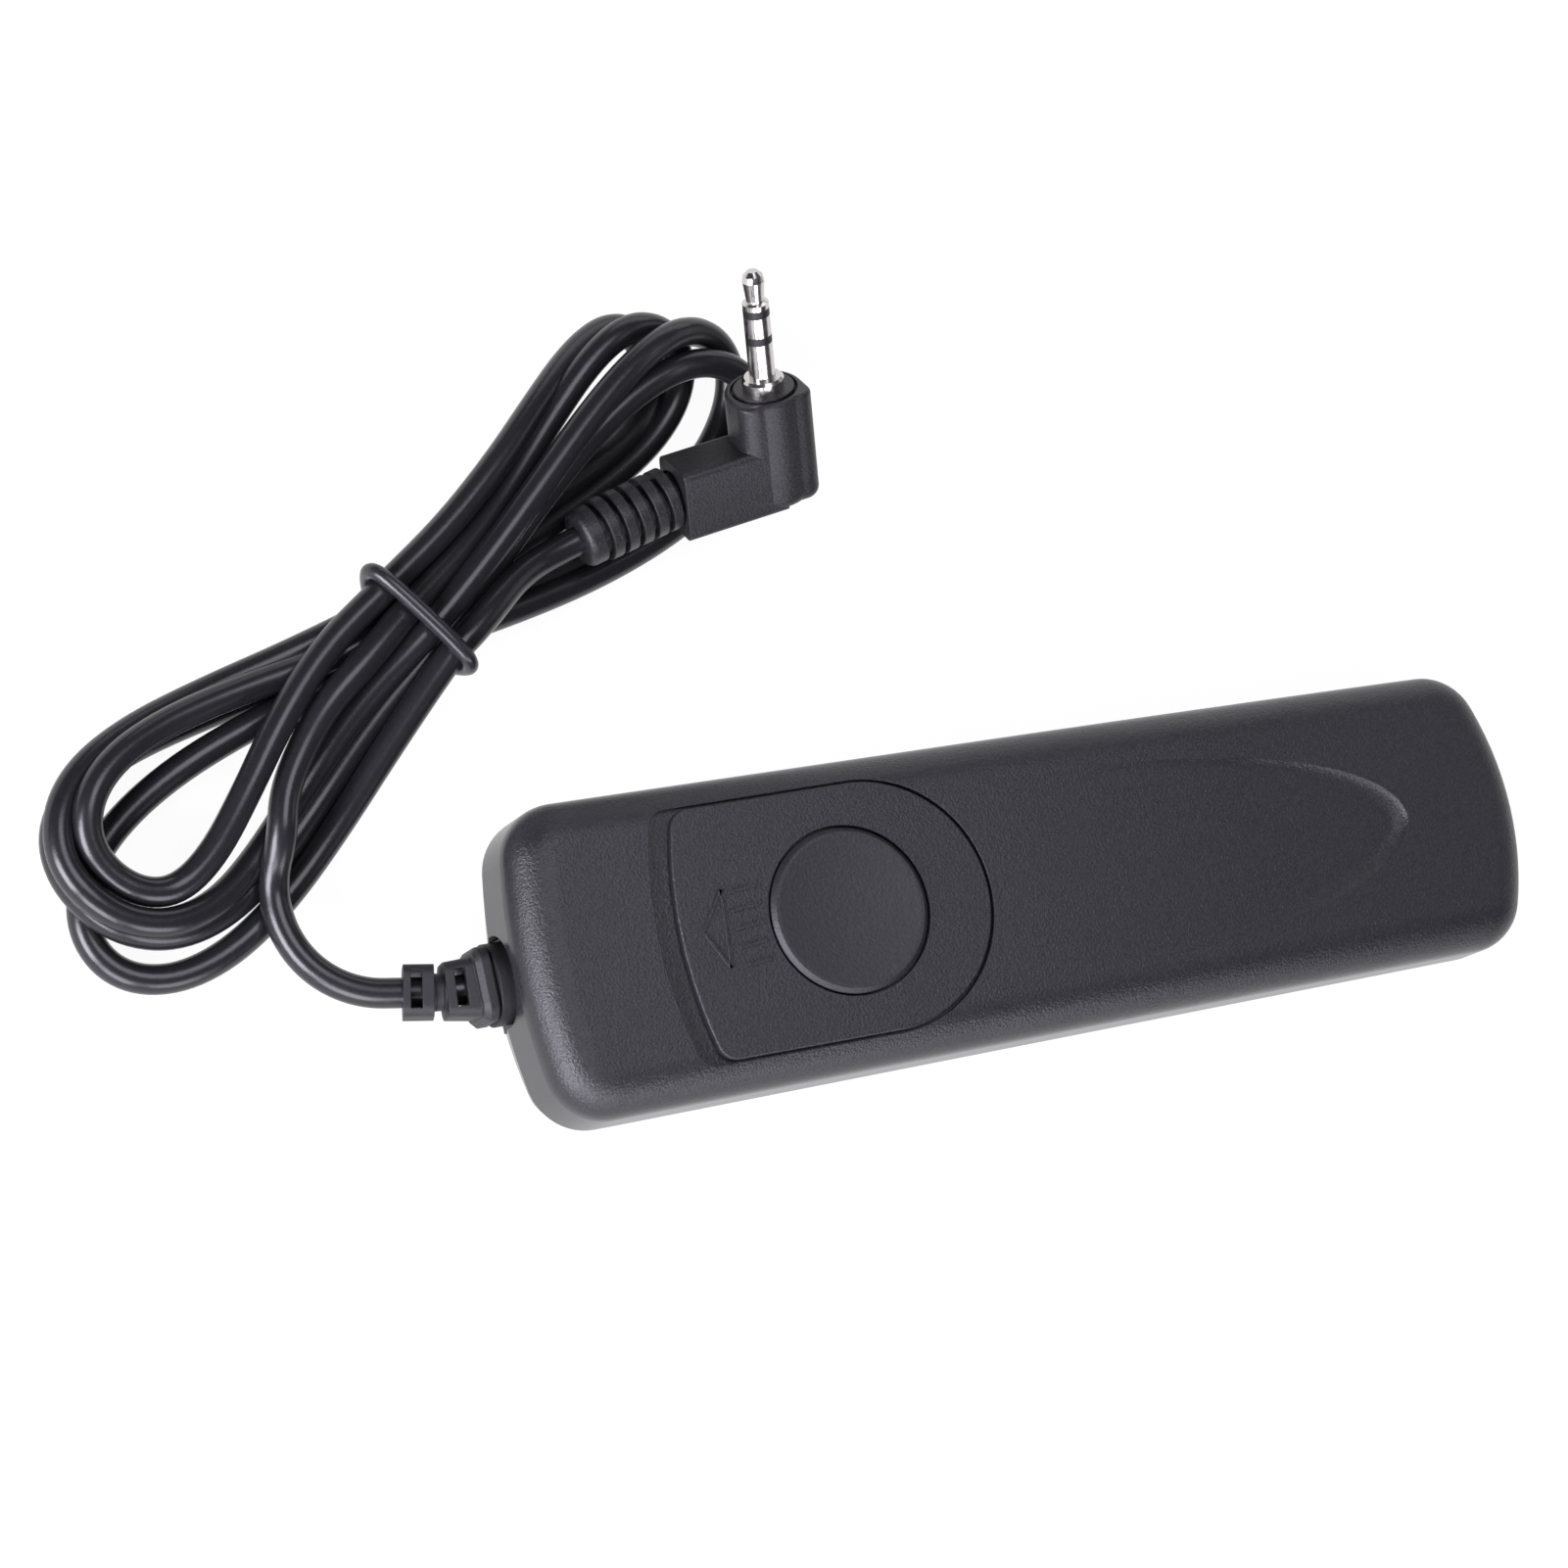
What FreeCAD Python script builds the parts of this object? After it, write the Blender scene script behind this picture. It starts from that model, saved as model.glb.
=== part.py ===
import FreeCAD, Part
import math
import os

# Wired remote shutter release: a two-shell moulded handset with a two-stage button in a hold slider,
# a slotted strain relief, a thin cable tied in a hank and a right-angle 2.5 mm stereo plug.
#
# Millimetres.  +X runs from the cable end to the plain end of the handset, +Z is up, and the
# origin is the middle of the handset's underside.

V = FreeCAD.Vector

# ---------------------------------------------------------------- handset shells
length = 104.3
width_cable_end = 29.2
width_plain_end = 27.3
height = 17.3
top_fall = 1.6                 # of the top's plain end below its flat part
top_fall_run = 56.15           # length of the large falling arc, up to the plain end
end_bulge_cable = 1.8
end_bulge_plain = 3.5
plan_corner_radius = 5.5
top_edge_radius = 4.0
bottom_edge_radius = 3.0
cover_draft = 17.0             # degrees from upright, of the bottom cover's sides
parting_height = 8.0
parting_gap = 0.15             # fine shadow line between the shells
wall = 1.9
tongue_thickness = 0.9
tongue_height = 1.2
tongue_clearance = 0.06
overlap = 0.5                  # by which forms that are joined run into each other

# ---------------------------------------------------------------- thumb scoop
scoop_apex_inset = 12.85       # of the scoop's apex from the plain end
scoop_half_length = 44.0
scoop_half_width = 11.5
scoop_start_inset = 0.7        # of the floor's start beyond the widest place
scoop_depth = 1.8              # of its floor below the flat top, at the apex
scoop_wall_radius = 2.1
scoop_floor_overrun = 3.0      # of the floor's arc beyond the apex

# ---------------------------------------------------------------- hold slider
hold_travel = 1.9
slider_round_offset = 2.5      # of its round end's centre beyond the button's axis
slider_radius = 11.58
slider_straight_length = 19.1  # from that centre to its edge toward the cable
slider_left_edge_radius = 42.0
slider_corner_radius = 1.8
slider_thickness = 0.8
slider_gap = 0.25
slider_seat_gap = 0.1
slider_edge_round = 0.2
recess_stop_gap = 0.25
recess_floor_thickness = 1.5
tub_wall = 1.4
guide_length = 5.0
guide_thickness = 0.9
guide_clearance = 0.1
snap_hook_height = 0.8
snap_hook_reach = 1.4
snap_gap = 0.1
rear_leg_inset = 4.5           # from the slider's edge toward the cable
rear_leg_y = 7.0
rear_leg_length = 1.8
rear_leg_thickness = 1.0
rear_hook_reach = 0.9
slot_clearance = 0.3

# ---------------------------------------------------------------- button
button_inset = 31.45           # of the button's axis from the cable end
button_radius = 7.7
button_clearance = 0.2
button_rise = 0.3              # of its rim above the slider
button_dish_depth = 0.35
button_rim_chamfer = 0.45
button_rim_width = 0.3
press_travel = 2.0
half_press_travel = 1.0
flange_radius = 8.5
flange_half_flat = 8.0
flange_thickness = 1.0
flange_gap = 0.05
stem_radius = 3.0
stem_length = 5.95
stem_tip_round = 0.8
lock_hook_reach = 2.5
lock_hook_width = 4.0
lock_hook_thickness = 0.8
lock_hook_drop = 2.65          # of the hook's underside below the flange
lock_clearance = 0.1
lock_side_gap = 0.3
shelf_width = 5.0
shelf_wall = 1.5

# ---------------------------------------------------------------- contact stack
leaf_thickness = 0.25
leaf_width = 4.4
leaf_tip_gap = 0.05
leaf_overreach = 3.1           # of the leaves beyond the button's axis
contact_dimple_radius = 1.0
contact_dimple_height = 0.15
stack_inset = 13.55            # of the middle of the clamped ends from the cable end
stack_length = 6.6
stack_width = 7.0
clamp_thickness = 0.8
pin_radius = 0.8
pin_pitch = 3.6
pin_head_radius = 1.25
pin_head_height = 0.6
tail_length = 2.4
wire_landing = 1.2             # length of wire that lies on a tail
tail_width = 1.3
tail_pitch = 2.6
seat_rib = 0.8
seat_rib_height = 1.6
seat_clearance = 0.05
hold_down_thickness = 1.0
hold_down_inset = 0.5          # from the sides of the stack

# ---------------------------------------------------------------- screws
screw_inset_cable = 6.95       # of the two screws from the cable end
screw_spread = 16.8            # between the two
screw_inset_plain = 8.65       # of the single screw from the plain end
screw_radius = 0.95
screw_fit = 0.02
screw_length = 8.0
screw_head_radius = 1.9
screw_head_height = 1.2
screw_head_clearance = 0.12
screw_shank_clearance = 0.06
screw_pocket_depth = 2.4
pilot_overrun = 0.8            # of the pilot holes beyond the screws
boss_radius = 2.6
boss_foot_radius = 3.4
boss_gap = 0.05

# ---------------------------------------------------------------- cable and strain relief
cable_diameter = 2.8
wire_diameter = 0.85
wire_pitch = 0.9
wire_lead = 0.85               # straight run of a wire where it leaves the jacket
wire_drop_run = 0.7            # from a tail's end to the wire's last bend
wire_gap = 0.03                # of a wire above its tail
axis_height = 7.5              # of the cable where it leaves the handset
relief_bore_fit = 0.02
window_width = 8.2
window_low = 3.6
window_high = 13.0
window_clearance = 0.08
plate_recess = 1.3             # of the strain relief's plate behind the outside of the end wall
inner_flange_thickness = 1.2
wall_seat = 0.3                # of the inner flange from the end wall's inside at its middle
inner_flange_margin = 1.0
collar_length = 2.3
collar_width = 6.9
collar_height = 6.4
collar_round = 1.6
collar_chamfer = 0.5
root_disc_radius = 3.8
root_disc_length = 0.7         # outside the end wall
groove_depth = 0.5
groove_width = 0.3
taper_length = 2.5
taper_width_root = 5.6
taper_width_end = 5.0
block_height = 4.3
block_round = 1.1
neck_length = 0.9
neck_diameter = 3.4
end_block_length = 2.75
end_block_width = 4.8
slot_length = 1.05
slot_width = 3.5
slot_a_inset = 0.8             # of the first window from the taper's thin end
slot_c_inset = 0.65            # of the second window from the free end
relief_bends = [(7.0, 5.0), (7.0, 6.0)]   # toward the ground and toward +Y: at the collar, at the neck
cable_inner_length = 0.9       # of the jacket beyond the inner flange's face
tube_seat = 0.05               # of the loose cable inside the strain relief's free end

# route of the cable between the strain relief and the hank, chosen by hand
exit_route = [
    (-60.37, 0.84, 6.38), (-63.64, 1.48, 5.55), (-66.5, 3.25, 4.83), (-68.59, 5.94, 4.3),
    (-69.67, 9.32, 4.02), (-69.52, 13.06, 4.03),
]
plug_end_route = [
    (-45.5, 34.9, 8.05), (-41.4, 37.2, 6.9), (-37.4, 39.05, 5.95), (-33.6, 40.2, 6.27),
]

# ---------------------------------------------------------------- hank and tie
left_lobe = [
    (-55, 38), (-64, 35.5), (-74, 32.5), (-82, 29), (-87.5, 24), (-89.8, 17), (-88, 10.5),
    (-83.5, 5.5), (-78, 5), (-71, 8.5), (-62, 17), (-54, 25), (-49.5, 30),
]
right_lobe = [
    (-53, 39), (-46.5, 43.5), (-38, 51), (-30, 58.5), (-24, 61.3), (-17, 59.6), (-12.2, 56.6),
    (-14.5, 51), (-20, 43.5), (-27, 38.4), (-35, 35.6), (-44, 33), (-49, 30.8),
]
left_opening = [
    (-63.5, 28.6), (-69.5, 22.5), (-76, 18.6), (-81.5, 17.4), (-83, 20), (-79, 24.4), (-71.5, 27.8),
]
right_opening = [
    (-21, 55.2), (-27, 51.3), (-33, 46.6), (-38.5, 41.4), (-35.5, 40.2), (-28.5, 44), (-22, 50.5),
]
lobe_height = 5.7
lobe_edge = 1.3
low_height = 2.9               # under the plug
low_x = (-36.6, -8.0)
low_y = (35.0, 51.0)
waist_centre = (-52.2, 34.1)
waist_heading = 37.0           # degrees from +X toward +Y
waist_length = 13.0
waist_width = 11.4
waist_low = 1.8
waist_high = 9.5
waist_corner = 2.6
tie_diameter = 1.6
tie_clearance = 0.1
tie_slot_gap = 0.5

# ---------------------------------------------------------------- plug
plug_centre = (-14.46, 44.39, 7.86)
plug_yaw = 8.96
plug_pitch = -4.64
plug_tilt = 40.92
boss_radius_round = 3.75       # of its round back, about the jack's axis
boss_front_edge = 1.5
plug_front_depth = 3.4
plug_back_depth = 2.35
boss_low = -3.3
boss_high = 8.2
boss_top_edge = 0.4
boss_foot_edge = 1.2
arm_half_height = 3.55
arm_end = 10.35
arm_front_edge = 0.7
arm_back_edge = 1.1
neck_groove_radius = 3.2
neck_groove_depth = 0.5
neck_ring_radius = 2.9
neck_ring_height = 0.16        # above the top of the boss
relief_recess_depth = 1.2
relief_recess_diameter = 5.0
relief_turn = 7.0              # degrees, of the soft tail from the arm, level with the ground
rib_count = 5
rib_pitch = 1.62
rib_width = 1.0
rib_diameter = 6.1
rib_start = 0.55
core_diameter = 4.4
tail_collar_length = 1.75
tail_collar_diameter = 5.7
tail_collar_round = 0.7
relief_clearance = 0.3         # of the soft tail's inner end, so that it can turn
jack_radius = 1.25
jack_length = 11.0
jack_flange_diameter = 4.0
jack_flange_height = 1.15
jack_flange_chamfer = 0.25
jack_root_depth = 3.0
jack_root_radius = 1.7
insulator_length = 0.78
tip_length = 3.75
ring_length = 2.0
tip_rod_radius = 0.75
tip_shoulder_length = 0.5
tip_shoulder_taper = 0.15
tip_waist_radius = 0.87
tip_bulb_radius = 1.06
tip_bulb_rise = 1.9
tip_nose_length = 1.0
tip_cheek_radius = 0.92
tip_cheek_length = 0.4
tip_point_radius = 0.5
jack_fit = 0.01

# ---------------------------------------------------------------- worked-out places and levels
cable_end_x = -length / 2
plain_end_x = length / 2
button_x = cable_end_x + button_inset
slider_round_x = button_x + slider_round_offset
slider_left_x = slider_round_x - slider_straight_length
rear_leg_x = slider_left_x + rear_leg_inset
stack_x = cable_end_x + stack_inset
leaf_end_x = button_x + leaf_overreach
scoop_apex_x = plain_end_x - scoop_apex_inset
scoop_start_x = scoop_apex_x - scoop_half_length + scoop_start_inset
top_flat_end_x = plain_end_x - top_fall_run
screw_places = [
    (cable_end_x + screw_inset_cable, screw_spread / 2),
    (cable_end_x + screw_inset_cable, -screw_spread / 2),
    (plain_end_x - screw_inset_plain, 0.0),
]
top_radius = (top_fall_run ** 2 + top_fall ** 2) / (2 * top_fall)
recess_floor = height - slider_thickness - slider_seat_gap
floor_under = recess_floor - recess_floor_thickness
recess_left_x = slider_left_x - hold_travel - recess_stop_gap
slider_low = height - slider_thickness
flange_top = slider_low - flange_gap
flange_low = flange_top - flange_thickness
stem_tip = flange_low - stem_length
guide_inner_y = flange_half_flat + guide_clearance
opening_radius = guide_inner_y + guide_thickness + 2 * slot_clearance
hook_low = floor_under - snap_gap - snap_hook_height
lock_hook_low = flange_low - lock_hook_drop
shelf_top = lock_hook_low - lock_clearance
shelf_thickness = press_travel - lock_hook_thickness - 2 * lock_clearance
contact_gap = half_press_travel - leaf_tip_gap
common_low = stem_tip - leaf_tip_gap - leaf_thickness
focus_low = common_low - contact_gap - leaf_thickness
shutter_low = focus_low - contact_gap - leaf_thickness
clamp_low = common_low + leaf_thickness
clamp_top = clamp_low + clamp_thickness
cable_radius = cable_diameter / 2


# ---------------------------------------------------------------- helpers
def block(x_low, x_high, y_low, y_high, z_low, z_high):
    return Part.makeBox(x_high - x_low, y_high - y_low, z_high - z_low, V(x_low, y_low, z_low))


def disc(radius, x, y, z_low, z_high):
    return Part.makeCylinder(radius, z_high - z_low, V(x, y, z_low))


def straight(start, end):
    return Part.LineSegment(start, end).toShape()


def arc(start, middle, end):
    return Part.Arc(start, middle, end).toShape()


def upright(edge):
    """True for a straight edge parallel to Z."""
    low, high = edge.Vertexes[0].Point, edge.Vertexes[-1].Point
    return abs(low.x - high.x) < 1e-6 and abs(low.y - high.y) < 1e-6 and edge.Length > 1e-6


def middle_of(edge):
    first, last = edge.ParameterRange
    return edge.valueAt((first + last) / 2)


def round_edges(shape, radius, wanted):
    chosen = [edge for edge in shape.Edges if wanted(edge)]
    return shape.makeFillet(radius, chosen)


def bevel_edges(shape, size, wanted):
    chosen = [edge for edge in shape.Edges if wanted(edge)]
    return shape.makeChamfer(size, chosen)


def at_height(z):
    """Test for an edge that lies wholly at the level z."""
    def level_edge(edge):
        heights = [vertex.Z for vertex in edge.Vertexes] + [middle_of(edge).z]
        return all(abs(level - z) < 1e-4 for level in heights)
    return level_edge


def soft_block(x_low, x_high, y_low, y_high, z_low, z_high, radius):
    """Block whose four edges along X are rounded."""
    shape = block(x_low, x_high, y_low, y_high, z_low, z_high)

    def along_x(edge):
        low, high = edge.Vertexes[0].Point, edge.Vertexes[-1].Point
        return abs(low.x - high.x) > 1e-6
    return round_edges(shape, radius, along_x)


def save(name, shape):
    shape.exportStep(os.path.join("parts", name + ".step"))


# ---------------------------------------------------------------- the handset's outer form
def plan_prism(inset, z_low, z_high):
    """Handset outline: tapered sides, bowed ends and rounded corners, drawn in by the inset."""
    x_cable = cable_end_x + inset
    x_plain = plain_end_x - inset
    half_cable = width_cable_end / 2 - inset
    half_plain = width_plain_end / 2 - inset
    corners = [
        V(x_cable + end_bulge_cable, -half_cable, z_low), V(x_plain - end_bulge_plain, -half_plain, z_low),
        V(x_plain - end_bulge_plain, half_plain, z_low), V(x_cable + end_bulge_cable, half_cable, z_low),
    ]
    outline = Part.Wire([
        straight(corners[0], corners[1]),
        arc(corners[1], V(x_plain, 0, z_low), corners[2]),
        straight(corners[2], corners[3]),
        arc(corners[3], V(x_cable, 0, z_low), corners[0]),
    ])
    prism = Part.Face(outline).extrude(V(0, 0, z_high - z_low))
    return round_edges(prism, plan_corner_radius - inset, upright)


def top_height(x):
    """Level of the handset's top at x."""
    if x <= top_flat_end_x:
        return height
    return height - top_radius + math.sqrt(top_radius ** 2 - (x - top_flat_end_x) ** 2)


def side_prism(inset, z_low):
    """Side view of the handset, as wide as the handset: flat top, then a large falling arc."""
    reach = plain_end_x + 2 * wall
    y = -width_cable_end
    centre_z = height - top_radius
    radius = top_radius - inset

    def on_arc(x):
        return V(x, y, centre_z + math.sqrt(radius ** 2 - (x - top_flat_end_x) ** 2))
    start = on_arc(top_flat_end_x)
    middle = on_arc((top_flat_end_x + reach) / 2)
    end = on_arc(reach)
    outline = Part.Wire([
        straight(V(-reach, y, z_low), V(-reach, y, start.z)),
        straight(V(-reach, y, start.z), start),
        arc(start, middle, end),
        straight(end, V(reach, y, z_low)),
        straight(V(reach, y, z_low), V(-reach, y, z_low)),
    ])
    return Part.Face(outline).extrude(V(0, 2 * width_cable_end, 0))


def top_form(inset):
    """Outer form of the top housing, drawn in by the inset, with a rounded top edge."""
    form = plan_prism(inset, 0, height + 1).common(side_prism(inset, 0))

    def on_top_rim(edge):
        point = middle_of(edge)
        crosses = abs(point.y) < 1e-3 and abs(point.x - top_flat_end_x) < 1e-3
        return abs(point.z - top_height(point.x) + inset) < 0.02 and not upright(edge) and not crosses
    return round_edges(form, top_edge_radius - inset, on_top_rim)


def plan_wire(inset, z):
    """Handset outline at the level z, drawn in by the inset."""
    prism = plan_prism(inset, z, z + 1)
    foot = min(prism.Faces, key=lambda face: face.CenterOfMass.z)
    return foot.OuterWire


def cover_form(inset):
    """Outer form of the bottom cover, drawn in by the inset: drafted sides and a rounded bottom edge."""
    low = inset
    draw_in = (parting_height - low) * math.tan(math.radians(cover_draft))
    form = Part.makeLoft([plan_wire(inset + draw_in, low), plan_wire(inset, parting_height)], True, True)
    return round_edges(form, bottom_edge_radius - inset, at_height(low))


def upper_space(inset):
    """Room above the parting line, drawn in by the inset."""
    return plan_prism(inset, parting_height, height)


def scoop_tool():
    """Thumb scoop: half an ellipse in plan, a floor that curves down, and a radiused wall."""
    ellipse = Part.Ellipse(V(scoop_apex_x - scoop_half_length, 0, 0), scoop_half_length, scoop_half_width)
    outline = Part.Face(Part.Wire(ellipse.toShape()))
    prism = outline.extrude(V(0, 0, 2 * height))
    run = scoop_apex_x - scoop_start_x
    floor_radius = (run ** 2 + scoop_depth ** 2) / (2 * scoop_depth)
    end_x = scoop_apex_x + scoop_floor_overrun
    y = -width_cable_end

    def on_floor(x):
        return V(x, y, height - floor_radius + math.sqrt(floor_radius ** 2 - (x - scoop_start_x) ** 2))
    roof = 2 * height - 1
    above_floor = Part.Wire([
        arc(on_floor(scoop_start_x), on_floor((scoop_start_x + end_x) / 2), on_floor(end_x)),
        straight(on_floor(end_x), V(end_x, y, roof)),
        straight(V(end_x, y, roof), V(scoop_start_x, y, roof)),
        straight(V(scoop_start_x, y, roof), on_floor(scoop_start_x)),
    ])
    tool = prism.common(Part.Face(above_floor).extrude(V(0, 2 * width_cable_end, 0)))

    def floor_rim(edge):
        point = middle_of(edge)
        on_level = abs(point.z - on_floor(point.x).z) < 0.05
        return on_level and point.x > scoop_start_x + 1
    return round_edges(tool, scoop_wall_radius, floor_rim)


# ---------------------------------------------------------------- D-shaped outline of slider and recess
def d_prism(grow, left_x, z_low, z_high):
    """D-shaped prism: round toward the plain end, slightly bowed toward the cable end."""
    radius = slider_radius + grow
    left_radius = slider_left_edge_radius
    bow = left_radius - math.sqrt(left_radius ** 2 - radius ** 2)
    outline = Part.Wire([
        arc(V(slider_round_x, -radius, z_low), V(slider_round_x + radius, 0, z_low),
            V(slider_round_x, radius, z_low)),
        straight(V(slider_round_x, radius, z_low), V(left_x + bow, radius, z_low)),
        arc(V(left_x + bow, radius, z_low), V(left_x, 0, z_low), V(left_x + bow, -radius, z_low)),
        straight(V(left_x + bow, -radius, z_low), V(slider_round_x, -radius, z_low)),
    ])
    prism = Part.Face(outline).extrude(V(0, 0, z_high - z_low))

    def left_corner(edge):
        return upright(edge) and middle_of(edge).x < left_x + bow + 0.5
    return round_edges(prism, slider_corner_radius + grow, left_corner)


def stadium(radius, travel, x, z_low, z_high):
    """Round opening stretched toward the cable end by the travel."""
    shape = disc(radius, x, 0, z_low, z_high)
    shape = shape.fuse(disc(radius, x - travel, 0, z_low, z_high))
    return shape.fuse(block(x - travel, x, -radius, radius, z_low, z_high))


# ---------------------------------------------------------------- handset pieces
def window_shape(grow, x_low, x_high):
    """Arch-topped window of the cable's strain relief, cut along X through the end wall."""
    half = window_width / 2 + grow
    low = window_low - grow
    spring = window_high - window_width / 2
    base = block(x_low, x_high, -half, half, low, spring)
    arch = Part.makeCylinder(half, x_high - x_low, V(x_low, 0, spring), V(1, 0, 0))
    return base.fuse(arch)


def window_through_wall():
    """The window, with its clearance, through the whole end wall."""
    inside = cable_end_x + end_bulge_cable + wall
    return window_shape(window_clearance, cable_end_x - overlap, inside + overlap)


def screw_boss(x, y):
    """Boss under the top housing with a pilot hole for one screw."""
    boss = disc(boss_radius, x, y, parting_height, height - wall + overlap)
    return boss, disc(screw_radius + screw_fit, x, y, 0, screw_pocket_depth + screw_length + pilot_overrun)


def leg_slot(x, y, leg_length, leg_thickness):
    return block(x - leg_length / 2 - hold_travel - slot_clearance, x + leg_length / 2 + slot_clearance,
                 y - leg_thickness / 2 - slot_clearance, y + leg_thickness / 2 + slot_clearance,
                 floor_under - 1, recess_floor + 1)


def lock_shelf():
    """Bracket under the recess floor that holds the pressed button down."""
    opening_left = button_x - hold_travel - opening_radius
    wall_x = opening_left - slot_clearance
    tip_x = button_x - stem_radius - lock_hook_reach - lock_side_gap
    half = shelf_width / 2
    low = shelf_top - shelf_thickness
    hanger = block(wall_x - shelf_wall, wall_x, -half, half, low, floor_under + overlap)
    shelf = block(wall_x - shelf_wall, tip_x, -half, half, low, shelf_top)
    return hanger.fuse(shelf)


def make_top_housing():
    form = top_form(0)
    body = form.common(block(-length, length, -length, length, parting_height, 2 * height))
    rebate = plan_prism(wall - tongue_thickness - tongue_clearance, parting_height - 1,
                        parting_height + tongue_height + tongue_clearance)
    shell = body.cut(top_form(wall)).cut(rebate)
    tub = d_prism(slider_gap + tub_wall, recess_left_x - tub_wall, floor_under, height)
    inside = top_form(wall / 2).common(tub)
    shell = shell.fuse(inside)
    hold_down = block(stack_x - hold_down_thickness / 2, stack_x + hold_down_thickness / 2,
                      hold_down_inset - stack_width / 2, stack_width / 2 - hold_down_inset,
                      clamp_top + boss_gap, floor_under + overlap)
    shell = shell.fuse(lock_shelf()).fuse(hold_down)
    holes = []
    for x, y in screw_places:
        boss, hole = screw_boss(x, y)
        shell = shell.fuse(boss.common(top_form(wall / 2)))
        holes.append(hole)
    for hole in holes:
        shell = shell.cut(hole)
    shell = shell.cut(d_prism(slider_gap, recess_left_x, recess_floor, 2 * height))
    shell = shell.cut(stadium(opening_radius, hold_travel, button_x, floor_under - 1, recess_floor + 1))
    for side in (-1, 1):
        shell = shell.cut(leg_slot(rear_leg_x, side * rear_leg_y, rear_leg_length, rear_leg_thickness))
    shell = shell.cut(scoop_tool())
    return shell.cut(window_through_wall())


def contact_seat():
    """Ribs on the bottom cover that locate the contact carrier."""
    x_low = stack_x - stack_length / 2 - seat_clearance
    x_high = stack_x + stack_length / 2 + seat_clearance
    half = stack_width / 2 + seat_clearance
    top = wall + seat_rib_height
    outer = block(x_low - seat_rib, x_high + seat_rib, -half - seat_rib, half + seat_rib, wall - overlap, top)
    return outer.cut(block(x_low, x_high, -half, half, wall, top + 1))


def make_bottom_cover():
    form = cover_form(0)
    body = form.common(block(-length, length, -length, length, -1, parting_height - parting_gap))
    shell = body.cut(cover_form(wall))
    tongue_low = parting_height - parting_gap - 1
    tongue = plan_prism(wall - tongue_thickness, tongue_low, parting_height + tongue_height)
    tongue = tongue.cut(plan_prism(wall, tongue_low - 1, height))
    shell = shell.fuse(tongue)
    for x, y in screw_places:
        shell = shell.fuse(disc(boss_foot_radius, x, y, wall / 2, parting_height - boss_gap).common(form))
    shell = shell.fuse(contact_seat())
    for x, y in screw_places:
        shell = shell.cut(disc(screw_head_radius + screw_head_clearance, x, y, -1, screw_pocket_depth))
        shell = shell.cut(disc(screw_radius + screw_shank_clearance, x, y, 0, height))
    return shell.cut(window_through_wall())


def make_screws():
    screws = []
    for x, y in screw_places:
        head = disc(screw_head_radius, x, y, screw_pocket_depth - screw_head_height, screw_pocket_depth)
        shank = disc(screw_radius, x, y, screw_pocket_depth, screw_pocket_depth + screw_length)
        screws.append(head.fuse(shank))
    return Part.makeCompound(screws)


# ---------------------------------------------------------------- slider and button
def snap_guides():
    """Two legs beside the button that guide its flange and hook under the recess floor."""
    legs = []
    x_low, x_high = button_x - guide_length / 2, button_x + guide_length / 2
    for side in (-1, 1):
        inner, outer = side * guide_inner_y, side * (guide_inner_y + guide_thickness)
        reach = side * (guide_inner_y + snap_hook_reach + guide_thickness)
        leg = block(x_low, x_high, min(inner, outer), max(inner, outer), hook_low, slider_low)
        hook = block(x_low, x_high, min(inner, reach), max(inner, reach),
                     hook_low, hook_low + snap_hook_height)
        legs.append(leg.fuse(hook))
    return legs


def rear_legs():
    legs = []
    x_low, x_high = rear_leg_x - rear_leg_length / 2, rear_leg_x + rear_leg_length / 2
    for side in (-1, 1):
        inner = side * rear_leg_y - rear_leg_thickness / 2
        leg = block(x_low, x_high, inner, inner + rear_leg_thickness, hook_low, slider_low)
        tip = side * (rear_leg_y + rear_leg_thickness / 2 + rear_hook_reach)
        root = side * rear_leg_y
        hook = block(x_low, x_high, min(root, tip), max(root, tip),
                     hook_low, hook_low + snap_hook_height)
        legs.append(leg.fuse(hook))
    return legs


def make_slider():
    plate = d_prism(0, slider_left_x, slider_low, height)
    plate = round_edges(plate, slider_edge_round, at_height(height))
    hole = disc(button_radius + button_clearance, button_x, 0, slider_low - 1, height + 1)
    plate = plate.cut(hole)
    for leg in snap_guides() + rear_legs():
        plate = plate.fuse(leg)
    return plate.removeSplitter()


def make_button():
    rim = height + button_rise
    cap = disc(button_radius, button_x, 0, flange_low, rim)
    cap = bevel_edges(cap, button_rim_chamfer, at_height(rim))
    flat_radius = button_radius - button_rim_chamfer - button_rim_width
    dish_radius = (flat_radius ** 2 + button_dish_depth ** 2) / (2 * button_dish_depth)
    cap = cap.cut(Part.makeSphere(dish_radius, V(button_x, 0, rim - button_dish_depth + dish_radius)))
    flange = disc(flange_radius, button_x, 0, flange_low, flange_top)
    flange = flange.common(block(button_x - flange_radius, button_x + flange_radius,
                                 -flange_half_flat, flange_half_flat, 0, height))
    stem = disc(stem_radius, button_x, 0, stem_tip, flange_low)
    stem = round_edges(stem, stem_tip_round, at_height(stem_tip))
    hook = block(button_x - stem_radius - lock_hook_reach, button_x, -lock_hook_width / 2,
                 lock_hook_width / 2, lock_hook_low, lock_hook_low + lock_hook_thickness)
    return cap.fuse(flange).fuse(stem).fuse(hook).removeSplitter()


# ---------------------------------------------------------------- contacts
def pin_places():
    return [stack_x - pin_pitch / 2, stack_x + pin_pitch / 2]


def cut_pins(shape):
    for x in pin_places():
        shape = shape.cut(disc(pin_radius + seat_clearance, x, 0, 0, height))
    return shape


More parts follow.
